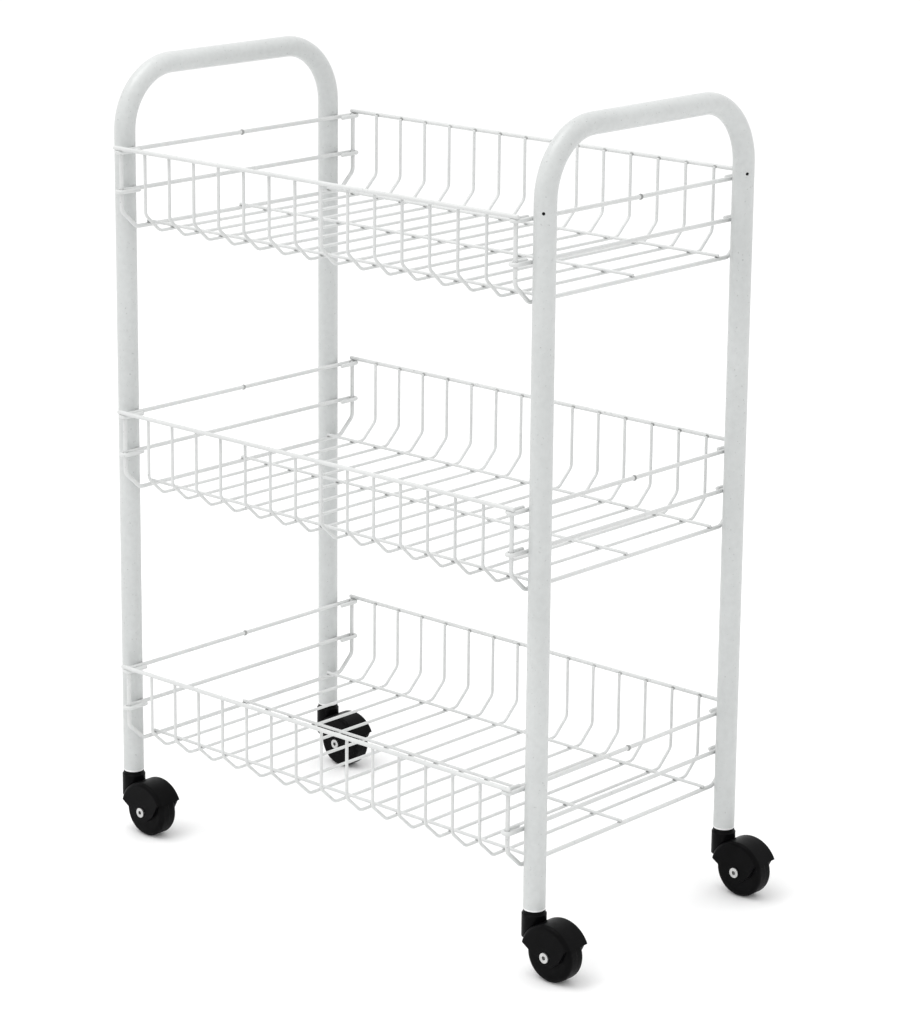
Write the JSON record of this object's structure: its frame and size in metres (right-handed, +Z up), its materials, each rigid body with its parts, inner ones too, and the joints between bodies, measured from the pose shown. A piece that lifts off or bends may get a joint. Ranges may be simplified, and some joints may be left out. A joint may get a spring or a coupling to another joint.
{
  "type": "rolling utility cart",
  "caption": "White steel cart on swivel casters: bent tube ends with handle bars carry open wire baskets one above another.",
  "frame": {"origin": "on the floor, midway between the swivel axes of the casters", "axes": "+X along the long side of the baskets, the way the casters trail at rest; +Y along the short side; +Z up"},
  "size_m": [0.4652, 0.2594, 0.61],
  "materials": {
    "tube": "white powder coat, satin, fine orange peel",
    "wire": "white powder coat, satin",
    "plug": "moulded black plastic",
    "stem": "zinc plated",
    "housing": "moulded black plastic, satin",
    "wheel": "moulded black plastic tread",
    "axle": "nickel plated rivet"
  },
  "bodies": {
    "frame": {"frame_left": "tube", "frame_right": "tube", "top_rim_wires": "wire", "top_cross_wires": "wire", "top_corner_wires": "wire", "top_floor_wires": "wire", "top_hook_wires_left": "wire", "top_hook_wires_right": "wire", "middle_rim_wires": "wire", "middle_cross_wires": "wire", "middle_corner_wires": "wire", "middle_floor_wires": "wire", "middle_hook_wires_left": "wire", "middle_hook_wires_right": "wire", "bottom_rim_wires": "wire", "bottom_cross_wires": "wire", "bottom_corner_wires": "wire", "bottom_floor_wires": "wire", "bottom_hook_wires_left": "wire", "bottom_hook_wires_right": "wire", "plug_left_front": "plug", "stem_left_front": "stem", "plug_left_back": "plug", "stem_left_back": "stem", "plug_right_front": "plug", "stem_right_front": "stem", "plug_right_back": "plug", "stem_right_back": "stem"},
    "swivel_left_front": {"housing_left_front": "housing", "axle_left_front": "axle"},
    "roller_left_front": {"wheel_left_front": "wheel"},
    "swivel_left_back": {"housing_left_back": "housing", "axle_left_back": "axle"},
    "roller_left_back": {"wheel_left_back": "wheel"},
    "swivel_right_front": {"housing_right_front": "housing", "axle_right_front": "axle"},
    "roller_right_front": {"wheel_right_front": "wheel"},
    "swivel_right_back": {"housing_right_back": "housing", "axle_right_back": "axle"},
    "roller_right_back": {"wheel_right_back": "wheel"}
  },
  "joints": [
    {"name": "swivel_left_front_turn", "type": "hinge", "parent": "frame", "child": "swivel_left_front", "pos_m": [-0.2075, -0.1095, 0.041], "axis": [0, 0, 1], "continuous": true},
    {"name": "wheel_left_front_spin", "type": "hinge", "parent": "swivel_left_front", "child": "roller_left_front", "pos_m": [-0.1875, -0.1095, 0.02], "axis": [0, 1, 0], "continuous": true},
    {"name": "swivel_left_back_turn", "type": "hinge", "parent": "frame", "child": "swivel_left_back", "pos_m": [-0.2075, 0.1095, 0.041], "axis": [0, 0, 1], "continuous": true},
    {"name": "wheel_left_back_spin", "type": "hinge", "parent": "swivel_left_back", "child": "roller_left_back", "pos_m": [-0.1875, 0.1095, 0.02], "axis": [0, 1, 0], "continuous": true},
    {"name": "swivel_right_front_turn", "type": "hinge", "parent": "frame", "child": "swivel_right_front", "pos_m": [0.2075, -0.1095, 0.041], "axis": [0, 0, 1], "continuous": true},
    {"name": "wheel_right_front_spin", "type": "hinge", "parent": "swivel_right_front", "child": "roller_right_front", "pos_m": [0.2275, -0.1095, 0.02], "axis": [0, 1, 0], "continuous": true},
    {"name": "swivel_right_back_turn", "type": "hinge", "parent": "frame", "child": "swivel_right_back", "pos_m": [0.2075, 0.1095, 0.041], "axis": [0, 0, 1], "continuous": true},
    {"name": "wheel_right_back_spin", "type": "hinge", "parent": "swivel_right_back", "child": "roller_right_back", "pos_m": [0.2275, 0.1095, 0.02], "axis": [0, 1, 0], "continuous": true}
  ]
}
